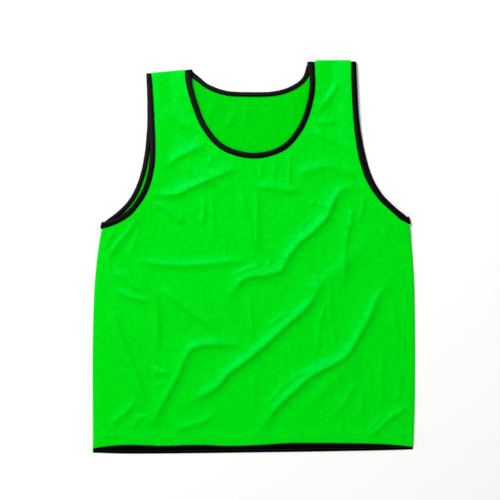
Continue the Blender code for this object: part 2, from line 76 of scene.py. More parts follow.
FRONT_NECK = (
    SHOULDER_NECK_LEFT, (-112.5, 314.0), (-103.5, 279.0), (-85.0, 235.0), (-52.0, 199.5), (0.0, 185.7),
    (50.0, 199.0), (81.5, 235.0), (97.0, 278.0), (101.5, 315.0), SHOULDER_NECK_RIGHT,
)
BACK_NECK = (
    SHOULDER_NECK_LEFT, (-98.0, 321.5), (-80.0, 308.0), (-48.0, 297.0), (-5.0, 294.8), (36.0, 296.2),
    (66.0, 305.0), (88.0, 320.8), SHOULDER_NECK_RIGHT,
)
FRONT_ARMHOLE_LEFT = (
    SHOULDER_TIP_LEFT, (-188.6, 277.0), (-186.0, 225.0), (-185.4, 180.0), (-190.5, 144.5), (-202.0, 114.0),
    (-223.5, 84.5), (-247.0, 68.7), UNDERARM_LEFT,
)
BACK_ARMHOLE_LEFT = (
    SHOULDER_TIP_LEFT, (-190.0, 277.0), (-190.4, 232.0), (-194.7, 186.0), (-203.2, 145.0), (-218.3, 109.5),
    (-240.0, 83.5), UNDERARM_LEFT,
)
FRONT_ARMHOLE_RIGHT = (
    SHOULDER_TIP_RIGHT, (184.4, 300.0), (186.3, 262.0), (190.3, 219.0), (197.6, 177.0), (209.6, 141.5),
    (228.6, 111.5), (253.0, 88.0), UNDERARM_RIGHT,
)
BACK_ARMHOLE_RIGHT = (
    SHOULDER_TIP_RIGHT, (184.0, 300.0), (187.0, 262.0), (192.2, 219.0), (200.9, 177.0), (212.5, 141.5),
    (230.6, 111.5), (254.0, 88.0), UNDERARM_RIGHT,
)
SIDE_LEFT = (
    UNDERARM_LEFT, (-274.0, 44.0), (-280.2, 8.0), (-285.5, -45.0), (-288.3, -105.0), (-289.7, -190.0),
    (-289.3, -270.0),
)
SIDE_RIGHT = (
    UNDERARM_RIGHT, (280.6, 50.0), (284.4, 12.0), (288.0, -45.0), (289.2, -105.0), (289.7, -180.0),
    (288.9, -270.0),
)
FRONT_HEM = (
    (-288.6, -343.5), (-258.0, -339.0), (-220.0, -337.2), (-162.0, -338.8), (-102.0, -337.2), (-42.0, -339.0),
    (10.0, -337.2), (60.0, -334.0), (110.0, -333.6), (225.0, -335.4), (286.0, -340.5),
)
BACK_HEM = (
    (-289.0, -350.4), (-222.0, -352.2), (-90.0, -351.2), (30.0, -349.6), (140.0, -348.0), (245.0, -345.9),
    (285.5, -344.4),
)

# %% [markdown]
# Curves and distances. A Catmull-Rom curve passes through every point of its table, so the outline is set by
# a handful of measured points. Most of the cloth's form depends on how far a point is from an edge or from
# the crest of a fold, so one function gives that distance for a whole array of points at once.

# %% Curves and distances
def ease(value, start, end):
    """0 up to start, 1 from end on, and between them t * t * (3 - 2 * t)."""
    t = np.clip((value - start) / (end - start), 0.0, 1.0)
    return t * t * (3.0 - 2.0 * t)


def resampled(line, count):
    """count points at equal steps along a line of close points."""
    along = np.concatenate([[0.0], np.cumsum(np.linalg.norm(np.diff(line, axis=0), axis=1))])
    stations = np.linspace(0.0, along[-1], count)
    return np.column_stack([np.interp(stations, along, line[:, axis]) for axis in range(line.shape[1])])


def length_of(line):
    """The length of a line of close points."""
    return np.linalg.norm(np.diff(line, axis=0), axis=1).sum()


def smooth_line(table, step):
    """Points about a step apart on the Catmull-Rom curve through the table: on each span, a cubic whose
    slope at a point is half the run between that point's two neighbours."""
    knots = np.array(table, float)
    padded = np.vstack([2 * knots[0] - knots[1], knots, 2 * knots[-1] - knots[-2]])
    a, b, c, d = (padded[i:len(padded) - 3 + i, None] for i in range(4))
    t = np.linspace(0.0, 1.0, 24, endpoint=False)[None, :, None]
    spans = b + 0.5 * t * (c - a + t * (2 * a - 5 * b + 4 * c - d + t * (3 * (b - c) + d - a)))
    fine = np.vstack([spans.reshape(-1, 2), knots[-1:]])
    return resampled(fine, max(2, round(length_of(fine) / step) + 1))


def nearest_on(points, line):
    """For each point the nearest point of a line: the foot on each of its segments, and of those the closest."""
    start = line[:-1]
    run = line[1:] - start
    offset = points[:, None] - start
    t = np.clip((offset * run).sum(-1) / (run * run).sum(-1), 0.0, 1.0)
    gap = offset - t[..., None] * run
    closest = (gap * gap).sum(-1).argmin(axis=1)
    return points - gap[np.arange(len(points)), closest]


def distance_to(points, line):
    """How far each point is from the nearest point of a line."""
    return np.linalg.norm(points - nearest_on(points, line), axis=1)


def inside_of(points, closed):
    """Which points lie inside a closed line, by counting its crossings to the right of each point."""
    x, y = points[:, :1], points[:, 1:]
    x1, y1 = closed[:-1].T
    x2, y2 = closed[1:].T
    spans = (y1 > y) != (y2 > y)
    rise = np.where(y2 == y1, 1.0, y2 - y1)
    crossing = x1 + (y - y1) * (x2 - x1) / rise
    return (spans & (x < crossing)).sum(axis=1) % 2 == 1


def unit(start, end):
    """The direction from one point to another."""
    run = np.subtract(end, start)
    return run / np.linalg.norm(run)


# %% [markdown]
# The folds. Thin knit folds into ridges that are pinched at the top: the cloth rises in a long gentle slope
# on one side and drops more steeply on the other. Each row below is one fold: how high it stands, how wide its
# lit (upper left) and its shaded (lower right) flank are, how round its crest is, and the points the crest
# runs through. The rows were placed crease by crease, from the main folds to the faintest.

# %% The folds of the front
FOLD_COLUMNS = ("height", "lit", "shaded", "round", "crest")
TO_THE_SHADE = (1.0, -1.3)
FRONT_FOLDS = {
    "shoulder_to_neck_left": (4.6, 26, 16, 3, ((-78, 208), (-96, 199), (-118, 188), (-138, 178), (-156, 162))),
    "armhole_to_neck": (5.6, 30, 16, 3, ((-184, 113), (-160, 112), (-138, 113), (-115, 124), (-92, 134), (-50, 152), (-26, 159))),
    "strap_left": (3.8, 26, 18, 4, ((-166, 262), (-150, 255), (-136, 244), (-122, 236), (-104, 230))),
    "strap_right_rising": (4.6, 20, 15, 4, ((106, 260), (120, 270), (134, 285), (144, 298), (152, 314))),
    "strap_right_level": (2.6, 14, 13, 3, ((102, 241), (122, 242), (146, 243))),
    "strap_right_falling": (3.6, 22, 18, 4, ((98, 229), (118, 220), (140, 209), (160, 198), (180, 187))),
    "chest_arc": (3.8, 18, 36, 3, ((82, 138), (88, 152), (108, 159), (135, 164), (160, 156), (190, 146))),
    "chest_level": (3.6, 30, 14, 3, ((8, 127), (30, 124), (58, 120), (84, 118))),
    "s_fold": (7, 30, 18, 3, ((190, 129), (160, 121), (143, 101), (131, 72), (108, 48), (80, 24), (60, -2), (50, -22), (28, -31), (0, -34), (-20, -41), (-38, -62), (-47, -86))),
    "flank_right": (3.9, 30, 13, 4, ((178, 84), (170, 50), (164, 20), (163, -25), (158, -60))),
    "packing_crease": (4, 20, 14, 3, ((-206, -7), (-170, -12), (-130, -15), (-90, -13), (-50, -9), (-12, -5))),
    "underarm_low": (4, 12, 14, 3, ((-268, 12), (-260, 34), (-246, 52))),
    "underarm_long": (4.8, 14, 13, 3, ((-262, -4), (-250, 16), (-236, 33), (-221, 53), (-209, 78))),
    "underarm_inner": (3.4, 14, 18, 3, ((-182, 98), (-160, 89), (-142, 76), (-120, 60))),
    "belly_left": (4.8, 20, 15, 3, ((-166, -56), (-148, -70), (-126, -89), (-102, -105), (-82, -120), (-66, -134))),
    "flank_left_short": (4, 14, 13, 3, ((-209, -12), (-200, -38), (-186, -64), (-173, -94), (-172, -165))),
    "flank_left_long": (5, 20, 14, 3, ((-258, -84), (-242, -135), (-226, -172), (-212, -208), (-201, -245), (-190, -277))),
    "third_fold": (6.2, 30, 18, 3, ((-18, -157), (-60, -156), (-85, -157), (-108, -162), (-120, -175), (-130, -197), (-140, -220), (-163, -260), (-180, -292), (-198, -303))),
    "first_fold": (7.6, 38, 19, 3, ((112, -42), (117, -54), (105, -76), (85, -99), (55, -125), (25, -153), (-10, -182), (-45, -208), (-62, -228), (-82, -243), (-124, -264))),
    "second_fold": (7.8, 38, 19, 3, ((244, -43), (222, -72), (208, -105), (188, -142), (165, -177), (135, -195), (100, -215), (70, -242), (42, -268), (20, -298), (4, -321))),
    "corner_left": (3.6, 20, 13, 3, ((-256, -298), (-240, -287), (-213, -262))),
    "hem_left": (3.1, 24, 16, 4, ((-142, -312), (-120, -304), (-96, -297), (-66, -280))),
    "corner_right": (4.2, 24, 14, 3, ((276, -270), (246, -288), (232, -301), (204, -324))),
    "hem_right": (2.5, 20, 16, 4, ((184, -225), (172, -246), (158, -268), (143, -286))),
    "underarm_edge": (2.9, 10, 10, 3, ((-275, 24), (-262, 40), (-246, 53))),
    "underarm_mid": (2.1, 9, 10, 3, ((-226, 0), (-214, 26), (-206, 50))),
    "underarm_short": (1.7, 8, 8, 3, ((-190, 88), (-182, 62), (-176, 36))),
    "side_left_high": (3.6, 10, 12, 3, ((-246, -26), (-226, -42), (-202, -64))),
    "side_left_low": (4, 12, 14, 3, ((-245, -60), (-222, -70), (-190, -80))),
    "flank_upright": (1.7, 8, 9, 3, ((-178, -45), (-174, -90), (-173, -130), (-172, -170))),
    "loop_left": (2.6, 9, 9, 3, ((-220, -310), (-212, -297), (-205, -290), (-188, -285))),
    "corner_left_outer": (2.8, 8, 8, 3, ((-283, -290), (-278, -305), (-268, -318), (-258, -325))),
    "corner_left_inner": (2.8, 8, 9, 3, ((-262, -300), (-252, -315), (-242, -328))),
    "belly_arc": (3.2, 9, 12, 3, ((-183, -198), (-170, -206), (-150, -208), (-145, -215))),
    "belly_arc_low": (2.1, 9, 10, 3, ((-178, -238), (-165, -226), (-150, -225))),
    "neck_drop_one": (2, 7, 9, 3, ((12, 172), (12, 142))),
    "neck_drop_two": (2, 7, 9, 3, ((38, 178), (36, 140))),
    "neck_drop_three": (2.6, 7, 9, 3, ((63, 195), (64, 150), (62, 125))),
    "neck_side": (1.7, 8, 10, 3, ((-68, 190), (-78, 175), (-80, 160))),
    "chest_upright_one": (2.4, 8, 9, 3, ((-91, 108), (-90, 80), (-94, 55))),
    "chest_upright_two": (2.6, 8, 9, 3, ((-76, 112), (-74, 80), (-72, 50), (-68, 25))),
    "chest_upright_broad": (3.2, 16, 16, 4, ((-22, 118), (-18, 90), (-10, 60), (-4, 30), (-2, 12))),
    "chest_upright_thin": (3, 8, 12, 3, ((4, 118), (5, 90), (5, 60), (6, 30), (5, 12))),
    "hip_upright": (2.4, 8, 9, 3, ((138, -45), (137, -80), (140, -115))),
    "hip_bow": (2.4, 8, 9, 3, ((131, -80), (120, -110), (116, -135), (112, -180))),
    "hip_short": (1.5, 7, 8, 3, ((142, -125), (146, -165))),
    "centre_crease": (2.8, 9, 10, 3, ((-9, -70), (-6, -100), (-2, -140), (-5, -160))),
    "centre_crease_low": (2.2, 8, 9, 3, ((0, -215), (0, -250), (2, -285))),
    "side_right_one": (2.4, 9, 10, 3, ((230, -165), (229, -220), (230, -275))),
    "side_right_two": (2.2, 8, 9, 3, ((262, -205), (261, -260))),
    "side_right_bow": (2.8, 9, 10, 3, ((247, -100), (255, -128), (264, -150), (275, -175))),
    "hem_right_upright": (2.4, 8, 9, 3, ((195, -240), (192, -290))),
    "hem_right_short": (1.5, 8, 8, 3, ((160, -295), (152, -318))),
    "corner_right_bow": (2.5, 10, 10, 3, ((233, -282), (218, -298), (205, -312))),
    "crease_end": (2.9, 10, 12, 3, ((-38, -35), (-20, -25), (0, -18), (15, -15))),
    "crease_ring": (2.1, 7, 7, 2.5, ((30, -4), (26, -12), (20, -21))),
    "first_band": (2.5, 12, 12, 3, ((70, -95), (45, -110), (25, -128))),
    "second_band": (2.9, 14, 14, 3, ((150, -178), (95, -205), (60, -225), (30, -258), (18, -278))),
    "flank_thin": (3, 9, 12, 3, ((197, 108), (195, 90), (190, 65))),
    "flank_thin_two": (2.8, 8, 10, 3, ((176, 85), (172, 50))),
    "side_right_high": (2.2, 8, 9, 3, ((232, 50), (240, 30))),
    "chest_short": (1.9, 8, 9, 3, ((115, 95), (124, 93), (135, 88))),
    "chest_dot": (1.7, 7, 8, 3, ((104, 100), (108, 95))),
}
BACK_FOLDS = {
    "nape": (2.2, 12, 26, 3, ((-13, 274), (-15, 256), (-17, 238))),
    "nape_left": (1.9, 16, 12, 3, ((-30, 266), (-40, 246), (-50, 228))),
    "nape_right": (1.7, 14, 14, 3, ((22, 268), (34, 246), (44, 228))),
    "yoke_left": (1.6, 12, 12, 3, ((-62, 284), (-74, 268), (-80, 252))),
    "yoke_right": (1.5, 12, 12, 3, ((58, 284), (68, 268), (72, 250))),
    "shoulder_blade": (2.0, 34, 30, 6, ((-128, 172), (-88, 140), (-40, 118))),
    "waist": (2.2, 38, 34, 6, ((206, 30), (150, -24), (84, -70))),
    "flank": (2.0, 34, 30, 6, ((-214, -96), (-178, -168), (-150, -232))),
    "hip": (2.0, 36, 32, 6, ((196, -168), (140, -226), (88, -276))),
}
FOLD_STEP = 3.0
PINCH = 0.4
NARROW = 0.34


def fold_heights(points, folds):
    """Height of the folds over each point.

    A fold is the highest of many bumps, one on each point of its crest. A bump is a narrow pinch on a broad
    swell: height * (PINCH * (1 - run / narrow)^2 + (1 - PINCH) * (1 - run / width)^2), where
    run = root(distance^2 + round^2) - round keeps its top from being sharp. Its width turns smoothly from
    the lit width to the shaded one, and the crest fades over its ends. Folds that meet join as the root of
    their summed squares.
    """
    total = np.zeros(len(points))
    for row in folds.values():
        fold = dict(zip(FOLD_COLUMNS, row))
        crest = smooth_line(fold["crest"], FOLD_STEP)
        reach = fold["lit"] + fold["shaded"] + fold["round"]
        low, high = crest.min(axis=0) - reach, crest.max(axis=0) + reach
        near = np.flatnonzero(((points > low) & (points < high)).all(axis=1))
        tangent = np.gradient(crest, axis=0)
        normal = np.column_stack([tangent[:, 1], -tangent[:, 0]])
        normal /= np.linalg.norm(normal, axis=1)[:, None]
        normal *= np.where(normal @ TO_THE_SHADE < 0, -1.0, 1.0)[:, None]
        t = np.linspace(0.0, 1.0, len(crest))
        height = fold["height"] * ease(np.minimum(t, 1 - t), -0.06, 0.22)
        offset = points[near, None] - crest
        distance = np.linalg.norm(offset, axis=-1) + 1e-6
        side = (offset * normal).sum(-1) / distance
        width = 0.5 * (fold["shaded"] + fold["lit"]) + 0.5 * (fold["shaded"] - fold["lit"]) * side
        run = np.sqrt(distance**2 + fold["round"] ** 2) - fold["round"]
        swell = np.clip(1 - run / width, 0.0, None) ** 2
        pinch = np.clip(1 - run / (NARROW * width), 0.0, None) ** 2
        bump = height * (PINCH * pinch + (1 - PINCH) * swell)
        total[near] += bump.max(axis=1) ** 2
    return np.sqrt(total)


# %% [markdown]
# The panels as grids. A panel could be filled with triangles, but a grid that follows its four edges keeps the
# folds smooth. The grid is a Coons patch: it blends the hem into the shoulders and one side into the other.
# The neck is then cut out of it, and the points beside the hole are moved onto the neckline.

# %% A grid for each panel
SHOULDER_RISE_LEFT = 4.4
SHOULDER_RISE_RIGHT = 6.4
EDGE_STEP = 6.0


def shoulder_line(tip, neck, rise):
    """From the armhole to the neck: on the seam's line under each binding, and a rise above it between them."""
    along = unit(tip, neck)
    up = np.array([-along[1], along[0]]) * np.sign(along[0])
    length = np.linalg.norm(np.subtract(neck, tip))
    reach = np.linspace(0.0, length, 60)[:, None]
    lift = rise * ease(reach, 4.0, 10.0) * ease(length - reach, 8.0, 14.0)
    return np.array(tip) + reach * along + lift * up


def coons_patch(bottom, top, left, right):
    """P(u, v) = (1 - v) B(u) + v T(u) + (1 - u) L(v) + u R(v), less the flat sheet through the four corners."""
    u = np.linspace(0.0, 1.0, len(bottom))[None, :, None]
    v = np.linspace(0.0, 1.0, len(left))[:, None, None]
    across = (1 - v) * bottom[None] + v * top[None]
    upwards = (1 - u) * left[:, None] + u * right[:, None]
    corners = (1 - v) * ((1 - u) * bottom[0] + u * bottom[-1]) + v * ((1 - u) * top[0] + u * top[-1])
    return across + upwards - corners


class Panel:
    """A panel's edge lines, and its grid: points in plan and four-sided faces."""

    def __init__(self, neck, armhole_left, armhole_right, hem, columns, rows):
        self.neck = smooth_line(neck, EDGE_STEP)
        self.armholes = [smooth_line(armhole_left, EDGE_STEP), smooth_line(armhole_right, EDGE_STEP)]
        self.hem = smooth_line(hem, EDGE_STEP)
        self.sides = [smooth_line((*SIDE_LEFT, hem[0]), EDGE_STEP), smooth_line((*SIDE_RIGHT, hem[-1]), EDGE_STEP)]
        self.shoulders = [
            shoulder_line(SHOULDER_TIP_LEFT, SHOULDER_NECK_LEFT, SHOULDER_RISE_LEFT),
            shoulder_line(SHOULDER_TIP_RIGHT, SHOULDER_NECK_RIGHT, SHOULDER_RISE_RIGHT),
        ]
        left, right = (
            resampled(np.vstack([side[::-1], armhole[::-1][1:]]), rows + 1)
            for side, armhole in zip(self.sides, self.armholes)
        )
        top = np.vstack([self.shoulders[0], self.shoulders[1][::-1]])
        grid = coons_patch(resampled(self.hem, columns + 1), resampled(top, columns + 1), left, right)
        points = grid.reshape(-1, 2)
        index = np.arange(len(points)).reshape(rows + 1, columns + 1)
        faces = np.stack([index[:-1, :-1], index[:-1, 1:], index[1:, 1:], index[1:, :-1]], axis=-1).reshape(-1, 4)
        opening = np.vstack([self.neck, self.neck[:1]])
        cut = inside_of(points[faces].mean(axis=1), opening)
        kept = faces[~cut]
        beside = np.intersect1d(kept, faces[cut])
        points[beside] = nearest_on(points[beside], self.neck)
        used, renumbered = np.unique(kept, return_inverse=True)
        self.points = points[used]
        self.faces = renumbered.reshape(-1, 4)


front = Panel(FRONT_NECK, FRONT_ARMHOLE_LEFT, FRONT_ARMHOLE_RIGHT, FRONT_HEM, 208, 244)
back = Panel(BACK_NECK, BACK_ARMHOLE_LEFT, BACK_ARMHOLE_RIGHT, BACK_HEM, 110, 130)
print("front grid:", len(front.faces), "faces, back grid:", len(back.faces), "faces")

# %% [markdown]
# How the layers lie. The back rests on the surface, and the front on the back. Near a bound edge each layer is
# lifted by the binding folded under it, and at the free sides and the hem the front comes down to the back.
# These are the same levels as in the solids, worked out from the distance to each edge.

# %% How the layers lie
SEAM_ROLL = 5.0
HEM_GROOVE = 4.6


def back_top(points):
    """Upper face of the back: the shell's thickness over the surface, raised near its bound edges."""
    bound = np.minimum.reduce([distance_to(points, line) for line in (back.neck, *back.armholes)])
    free = np.minimum.reduce([distance_to(points, line) for line in (*back.sides, back.hem)])
    away = ease(bound, EDGE_STRIP, EDGE_STRIP + EDGE_EASE)
    fade = ease(bound, 9.0, 24.0) * ease(free, 8.0, 45.0)
    return SHELL + BACK_EDGE * (1 - away) + fade * fold_heights(points, BACK_FOLDS)


def front_top(points):
    """Upper face of the front: over the back, the tape and the folds, eased to its level at each bound edge."""
    neck, left, right = (distance_to(points, line) for line in (front.neck, *front.armholes))
    side = np.minimum(*(distance_to(points, line) for line in front.sides))
    hem = distance_to(points, front.hem)
    free = np.minimum(side, hem)
    under = back_top(points) - SHELL
    loose = 0.3 + (0.5 + 0.3 * under) * ease(free, 0.0, 22.0)
    tape = LEG * (1 - ease(distance_to(points, back.hem), 22.0, 44.0))
    bound = np.minimum(neck, np.minimum(left, right))
    fade = ease(bound, 7.0, 26.0) * ease(free, 0.0, 22.0)
    lying = under + WALL + loose + tape + fade * fold_heights(points, FRONT_FOLDS)
    neck_level = FRONT_NECK_LOW + (FRONT_EDGE - FRONT_NECK_LOW) * ease(points[:, 1], *NECK_LEVELS_OUT)
    pull = [1 - ease(distance, EDGE_STRIP - 5, EDGE_STRIP + EDGE_EASE) for distance in (neck, left, right)]
    armhole_pull = np.maximum(pull[1], pull[2])
    level = (pull[0] * neck_level + armhole_pull * FRONT_EDGE) / (pull[0] + armhole_pull + 1e-9)
    top = lying + np.maximum(pull[0], armhole_pull) * (level - lying) + WALL
    side_roll = 1.4 * (1 - np.sqrt(np.clip(1 - (1 - np.clip(side / SEAM_ROLL, 0, 1)) ** 2, 0, None)))
    shoulder = np.minimum(*(distance_to(points, line) for line in front.shoulders))
    roll = 1 - np.sqrt(np.clip(1 - (1 - np.clip(shoulder / SEAM_ROLL, 0, 1)) ** 2, 0, None))
    groove = 0.45 * np.exp(-(((hem - HEM_GROOVE) / 1.6) ** 2))
    return top - side_roll - groove + roll * (TURN_LEVEL + SHELL - top)


# %% [markdown]
# From arrays to pieces. One helper writes points and faces into a mesh, gives it a UV map in metres of the
# cloth's own flat cut, and joins the piece to the frame.

# %% Making pieces
FRAME_SHIFT = np.array([0.0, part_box("hem_tape")[0][1] / MM - (back.hem[:, 1].min() - LEG), 0.0])
print("the frame stands", FRAME_SHIFT.round(2), "mm from the tables")


def make_piece(name, points, faces, plan, material):
    """A smooth-shaded mesh object from points in millimetres; plan holds each point's place on the flat cut."""
    mesh = bpy.data.meshes.new(name)
    mesh.from_pydata((points + FRAME_SHIFT) * MM, [], list(faces))
    corners = np.empty(len(mesh.loops), np.int32)
    mesh.loops.foreach_get("vertex_index", corners)
    flat = mesh.uv_layers.new(name="flat_cut")
    flat.data.foreach_set("uv", (plan[corners] * MM).astype(np.float32).ravel())
    mesh.shade_smooth()
    mesh.materials.append(material)
    piece = bpy.data.objects.new(name, mesh)
    bpy.context.scene.collection.objects.link(piece)
    return piece


def give_thickness(piece, thickness):
    """A wall that grows from the drawn face towards its under side."""
    wall = piece.modifiers.new("wall", "SOLIDIFY")
    wall.thickness = thickness * MM
    wall.offset = -1.0
    wall.use_even_offset = False


def triangle_count(piece):
    """Triangles of a piece with its modifiers."""
    graph = bpy.context.evaluated_depsgraph_get()
    mesh = piece.evaluated_get(graph).to_mesh()
    return sum(len(face.vertices) - 2 for face in mesh.polygons)


# %% [markdown]
# Node materials. A material is a small graph: places on the cloth go into patterns, patterns into colour and
# bump. One helper adds a node with its settings and its links, and one turns a hex colour into linear light.

# %% Helpers for materials
def linear(hex_colour):
    """An sRGB hex colour as linear red, green, blue and alpha."""
    parts = np.array([int(hex_colour[i:i + 2], 16) for i in (1, 3, 5)]) / 255.0
    values = np.where(parts <= 0.04045, parts / 12.92, ((parts + 0.055) / 1.055) ** 2.4)
    return (*values.tolist(), 1.0)


def add_node(tree, kind, settings=None, values=None, links=None):
    """A node of that kind, with its settings, its sockets' values and the outputs linked to its inputs."""
    node = tree.nodes.new(kind)
    for name, value in (settings or {}).items():
        setattr(node, name, value)
    for socket, value in (values or {}).items():
        node.inputs[socket].default_value = value
    for socket, source in (links or {}).items():
        tree.links.new(source, node.inputs[socket])
    return node


def new_material(name):
    """An empty node material, and the shader that ends it."""
    material = bpy.data.materials.new(name)
    material.use_nodes = True
    tree = material.node_tree
    return material, tree, tree.nodes["Principled BSDF"]


# %% [markdown]
# The knit. Bib cloth is warp-knitted polyester tricot: fine chains of loops run up the cloth as ribs, and the
# dyed filament has a soft satin gloss. The eye sees a bright green that is a little lighter and cooler where
# it catches the light, with faint upright streaks. Real ribs are about 1.2 mm apart, less than a pixel here,
# so they are drawn 2.4 mm apart and their unevenness as streaks about 4 mm wide.

# %% Tricot knit
RIB_SPACING = 0.0024
STREAK_WIDTH = 0.0042
STREAK_LENGTH = 0.045
MOTTLE_SIZE = 0.011


def tricot_knit(name, gloss, dark, light):
    """The satin face of the knit or its duller inside, which differ in gloss and in the two tones mixed; the inside's
    darker tones are partly painted shade.
    """
    material, tree, shader = new_material(name)
    place = add_node(tree, "ShaderNodeTexCoord").outputs["UV"]
    ribs = add_node(tree, "ShaderNodeTexWave", {"wave_type": "BANDS", "bands_direction": "X"},
                    {"Scale": 2 * np.pi / 20 / RIB_SPACING, "Distortion": 0.6, "Detail": 1.0}, {"Vector": place})
    stretched = add_node(tree, "ShaderNodeMapping", values={"Scale": (1 / STREAK_WIDTH, 1 / STREAK_LENGTH, 1.0)},
                         links={"Vector": place})
    streaks = add_node(tree, "ShaderNodeTexNoise", {"noise_dimensions": "2D"},
                       {"Scale": 1.0, "Detail": 3.0, "Roughness": 0.6}, {"Vector": stretched.outputs[0]})
    mottle = add_node(tree, "ShaderNodeTexNoise", {"noise_dimensions": "2D"},
                      {"Scale": 1 / MOTTLE_SIZE, "Detail": 4.0, "Roughness": 0.65}, {"Vector": place})
    unevenness = add_node(tree, "ShaderNodeMath", {"operation": "MULTIPLY_ADD"}, {1: 0.3},
                          {0: streaks.outputs["Fac"]})
    part = add_node(tree, "ShaderNodeMath", {"operation": "MULTIPLY"}, {1: 0.7}, {0: mottle.outputs["Fac"]})
    tree.links.new(part.outputs[0], unevenness.inputs[2])
    tone = add_node(tree, "ShaderNodeMapRange", values={"From Min": 0.3, "From Max": 0.7},
                    links={"Value": unevenness.outputs[0]})
    colour = add_node(tree, "ShaderNodeMix", {"data_type": "RGBA"},
                      {"A": linear(dark), "B": linear(light)}, {"Factor": tone.outputs["Result"]})
    relief = add_node(tree, "ShaderNodeMath", {"operation": "MULTIPLY_ADD"}, {1: 0.06}, {0: ribs.outputs["Fac"]})
    tree.links.new(unevenness.outputs[0], relief.inputs[2])
    bump = add_node(tree, "ShaderNodeBump", values={"Strength": 1.0, "Distance": 0.0015},
                    links={"Height": relief.outputs[0]})
    tree.links.new(colour.outputs["Result"], shader.inputs["Base Color"])
    tree.links.new(bump.outputs["Normal"], shader.inputs["Normal"])
    shader.inputs["Roughness"].default_value = 0.34
    shader.inputs["Specular IOR Level"].default_value = gloss
    shader.inputs["Specular Tint"].default_value = (0.0, 0.4, 0.35, 1.0)
    return material


knit = tricot_knit("polyester_tricot_green_face", 0.36, "#00CC00", "#00DA00")
# The inside is duller and its two tones are darker. The dullness is the knit's wrong side. The darker tone is partly
# that and partly painted shade from the front standing over the back.
knit_inside_painted_shade = tricot_knit("polyester_tricot_green_inside_painted_shade", 0.15, "#00C200", "#00CE00")
print("materials:", knit.name, knit_inside_painted_shade.name)

# %% [markdown]
# The black trims. The binding is a narrow rib-knitted polyester strip folded over the raw edge, and the hem
# tape is the same goods laid flat. Both are matt: close fine ribs across the strip break up the light, and
# only the rounded middle of the fold shows a dull grey gloss.

# %% Rib-knitted trim
TRIM_RIB = 0.0018


def rib_trim(name, rib, gloss):
    """Rib-knitted strip with its ribs that far apart; gloss is how much light its face throws back."""
    material, tree, shader = new_material(name)
    place = add_node(tree, "ShaderNodeTexCoord").outputs["UV"]
    ribs = add_node(tree, "ShaderNodeTexWave", {"wave_type": "BANDS", "bands_direction": "X"},
                    {"Scale": 2 * np.pi / 20 / rib, "Distortion": 1.2, "Detail": 2.0}, {"Vector": place})
    fuzz = add_node(tree, "ShaderNodeTexNoise", {"noise_dimensions": "2D"},
                    {"Scale": 900.0, "Detail": 3.0}, {"Vector": place})
    colour = add_node(tree, "ShaderNodeMix", {"data_type": "RGBA"},
                      {"A": linear("#000001"), "B": linear("#040405")}, {"Factor": fuzz.outputs["Fac"]})
    relief = add_node(tree, "ShaderNodeMath", {"operation": "ADD"},
                      links={0: ribs.outputs["Fac"], 1: fuzz.outputs["Fac"]})
    bump = add_node(tree, "ShaderNodeBump", values={"Strength": 0.5, "Distance": 0.0003},
                    links={"Height": relief.outputs[0]})
    tree.links.new(colour.outputs["Result"], shader.inputs["Base Color"])
    tree.links.new(bump.outputs["Normal"], shader.inputs["Normal"])
    shader.inputs["Roughness"].default_value = 0.5
    shader.inputs["Specular IOR Level"].default_value = gloss
    return material


binding_knit = rib_trim("polyester_rib_binding_black", TRIM_RIB, 0.14)
tape_knit = rib_trim("polyester_rib_tape_black", TRIM_RIB, 0.02)
print("materials:", binding_knit.name, tape_knit.name)

# %% [markdown]
# Sewing thread. Spun polyester thread is twisted from two or three plies, which show as slanting stripes with
# a slight gloss on each.

# %% Sewing thread
PLY_PITCH = 0.0009


def sewing_thread(name, colour):
    material, tree, shader = new_material(name)
    place = add_node(tree, "ShaderNodeTexCoord").outputs["UV"]
    plies = add_node(tree, "ShaderNodeTexWave", {"wave_type": "BANDS", "bands_direction": "DIAGONAL"},
                     {"Scale": 2 * np.pi / 20 / PLY_PITCH}, {"Vector": place})
    bump = add_node(tree, "ShaderNodeBump", values={"Strength": 0.6, "Distance": 0.0001},
                    links={"Height": plies.outputs["Fac"]})
    tree.links.new(bump.outputs["Normal"], shader.inputs["Normal"])
    shader.inputs["Base Color"].default_value = linear(colour)
    shader.inputs["Roughness"].default_value = 0.45
    return material


black_thread = sewing_thread("spun_polyester_thread_black", "#2A2A2E")
green_thread = sewing_thread("spun_polyester_thread_green", "#00CE10")

# %% [markdown]
# The back panel. It shows inside the neck and as a sliver at the left armhole, and its under side rests on the
# surface. Two soft folds run down from the back neck.

# %% Back panel
# The back panel wears the darker inside knit, whose tone is partly painted shade.
back_piece = make_piece("back_panel_cloth", np.column_stack([back.points, back_top(back.points)]), back.faces,
                        back.points, knit_inside_painted_shade)
give_thickness(back_piece, SHELL)
print("back panel:", triangle_count(back_piece), "triangles")

# %% [markdown]
# The front panel. It carries every crease that shows, down to the faint upright ones, so its grid is fine: a
# point about every 2.8 mm.

# %% Front panel
front_piece = make_piece("front_panel_cloth", np.column_stack([front.points, front_top(front.points)]), front.faces,
                         front.points, knit)
give_thickness(front_piece, SHELL)
print("front panel:", triangle_count(front_piece), "triangles")

# %% [markdown]
# The bindings. A strip of binding is folded round the raw edge, with one leg on each face, and sewn through
# near its inner edge. It is drawn as a section carried along the edge line: domed on top, rounded at the fold,
# and hollow where the panel's edge lies in it. At the shoulder and at the underarm the same strip turns over
# to the other layer.

# %% Bindings
BINDING_STEP = 1.3
OUTER_LEG = 9.2
INNER_LEG = 6.9
TURN_STEPS = 20
SEAM_POINT = 1
END_LENGTH = 24.0


